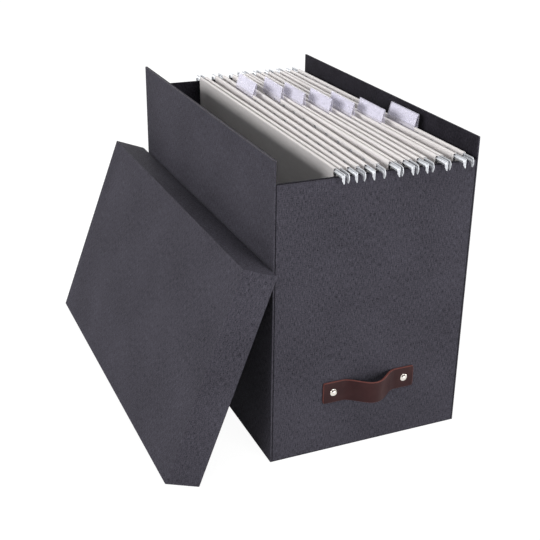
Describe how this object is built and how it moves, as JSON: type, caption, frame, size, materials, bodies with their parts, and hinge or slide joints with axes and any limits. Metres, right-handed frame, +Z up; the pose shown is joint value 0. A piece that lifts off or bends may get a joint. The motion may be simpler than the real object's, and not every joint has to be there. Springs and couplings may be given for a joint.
{
  "type": "portable file box",
  "caption": "Portable file box wrapped in charcoal linen paper, with a leather handle, hanging folders on hooked steel rails and a lift-off lid leaning on its left wall.",
  "frame": {"origin": "middle of the base's underside, on the surface that the box stands on", "axes": "+X to the box's right, seen from the handle's end; +Y from the handle's end to the back, along the rails; +Z up"},
  "size_m": [0.2776, 0.3637, 0.268],
  "materials": {
    "grey_board": "matte",
    "linen_paper": "woven, matte, dark grey",
    "black_paper": "matte",
    "strap_leather": "smooth, satin",
    "screw_chrome": "polished",
    "nut_steel": "plain",
    "folder_card": "matte, off-white",
    "rail_steel": "bright zinc",
    "tab_plastic": "clear",
    "label_paper": "matte, blank"
  },
  "bodies": {
    "box": {"base_board": "grey_board", "left_board": "grey_board", "right_board": "grey_board", "front_board": "grey_board", "back_board": "grey_board", "base_cover": "linen_paper", "left_cover": "linen_paper", "right_cover": "linen_paper", "front_cover": "linen_paper", "back_cover": "linen_paper", "lining": "black_paper", "handle_strap": "strap_leather", "handle_screws": "screw_chrome", "handle_nuts": "nut_steel"},
    "lid": {"lid_top_board": "grey_board", "lid_left_board": "grey_board", "lid_right_board": "grey_board", "lid_front_board": "grey_board", "lid_back_board": "grey_board", "lid_cover": "linen_paper", "lid_edge_strips": "linen_paper", "lid_lining": "black_paper"},
    "folder_1": {"folder_1_sleeve": "folder_card", "folder_1_rail_left": "rail_steel", "folder_1_rail_right": "rail_steel"},
    "folder_2": {"folder_2_sleeve": "folder_card", "folder_2_rail_left": "rail_steel", "folder_2_rail_right": "rail_steel", "folder_2_tab": "tab_plastic", "folder_2_label": "label_paper"},
    "folder_3": {"folder_3_sleeve": "folder_card", "folder_3_rail_left": "rail_steel", "folder_3_rail_right": "rail_steel", "folder_3_tab": "tab_plastic", "folder_3_label": "label_paper"},
    "folder_4": {"folder_4_sleeve": "folder_card", "folder_4_rail_left": "rail_steel", "folder_4_rail_right": "rail_steel", "folder_4_tab": "tab_plastic", "folder_4_label": "label_paper"},
    "folder_5": {"folder_5_sleeve": "folder_card", "folder_5_rail_left": "rail_steel", "folder_5_rail_right": "rail_steel", "folder_5_tab": "tab_plastic", "folder_5_label": "label_paper"},
    "folder_6": {"folder_6_sleeve": "folder_card", "folder_6_rail_left": "rail_steel", "folder_6_rail_right": "rail_steel", "folder_6_tab": "tab_plastic", "folder_6_label": "label_paper"},
    "folder_7": {"folder_7_sleeve": "folder_card", "folder_7_rail_left": "rail_steel", "folder_7_rail_right": "rail_steel", "folder_7_tab": "tab_plastic", "folder_7_label": "label_paper"},
    "folder_8": {"folder_8_sleeve": "folder_card", "folder_8_rail_left": "rail_steel", "folder_8_rail_right": "rail_steel", "folder_8_tab": "tab_plastic", "folder_8_label": "label_paper"}
  },
  "joints": [
    {"name": "lid_lift", "type": "slide", "parent": "box", "child": "lid", "axis": [0, 0, 1], "range_m": [0, 0.3]},
    {"name": "folder_1_lift", "type": "slide", "parent": "box", "child": "folder_1", "axis": [0, 0, 1], "range_m": [0, 0.28]},
    {"name": "folder_2_lift", "type": "slide", "parent": "box", "child": "folder_2", "axis": [0, 0, 1], "range_m": [0, 0.28]},
    {"name": "folder_3_lift", "type": "slide", "parent": "box", "child": "folder_3", "axis": [0, 0, 1], "range_m": [0, 0.28]},
    {"name": "folder_4_lift", "type": "slide", "parent": "box", "child": "folder_4", "axis": [0, 0, 1], "range_m": [0, 0.28]},
    {"name": "folder_5_lift", "type": "slide", "parent": "box", "child": "folder_5", "axis": [0, 0, 1], "range_m": [0, 0.28]},
    {"name": "folder_6_lift", "type": "slide", "parent": "box", "child": "folder_6", "axis": [0, 0, 1], "range_m": [0, 0.28]},
    {"name": "folder_7_lift", "type": "slide", "parent": "box", "child": "folder_7", "axis": [0, 0, 1], "range_m": [0, 0.28]},
    {"name": "folder_8_lift", "type": "slide", "parent": "box", "child": "folder_8", "axis": [0, 0, 1], "range_m": [0, 0.28]}
  ]
}
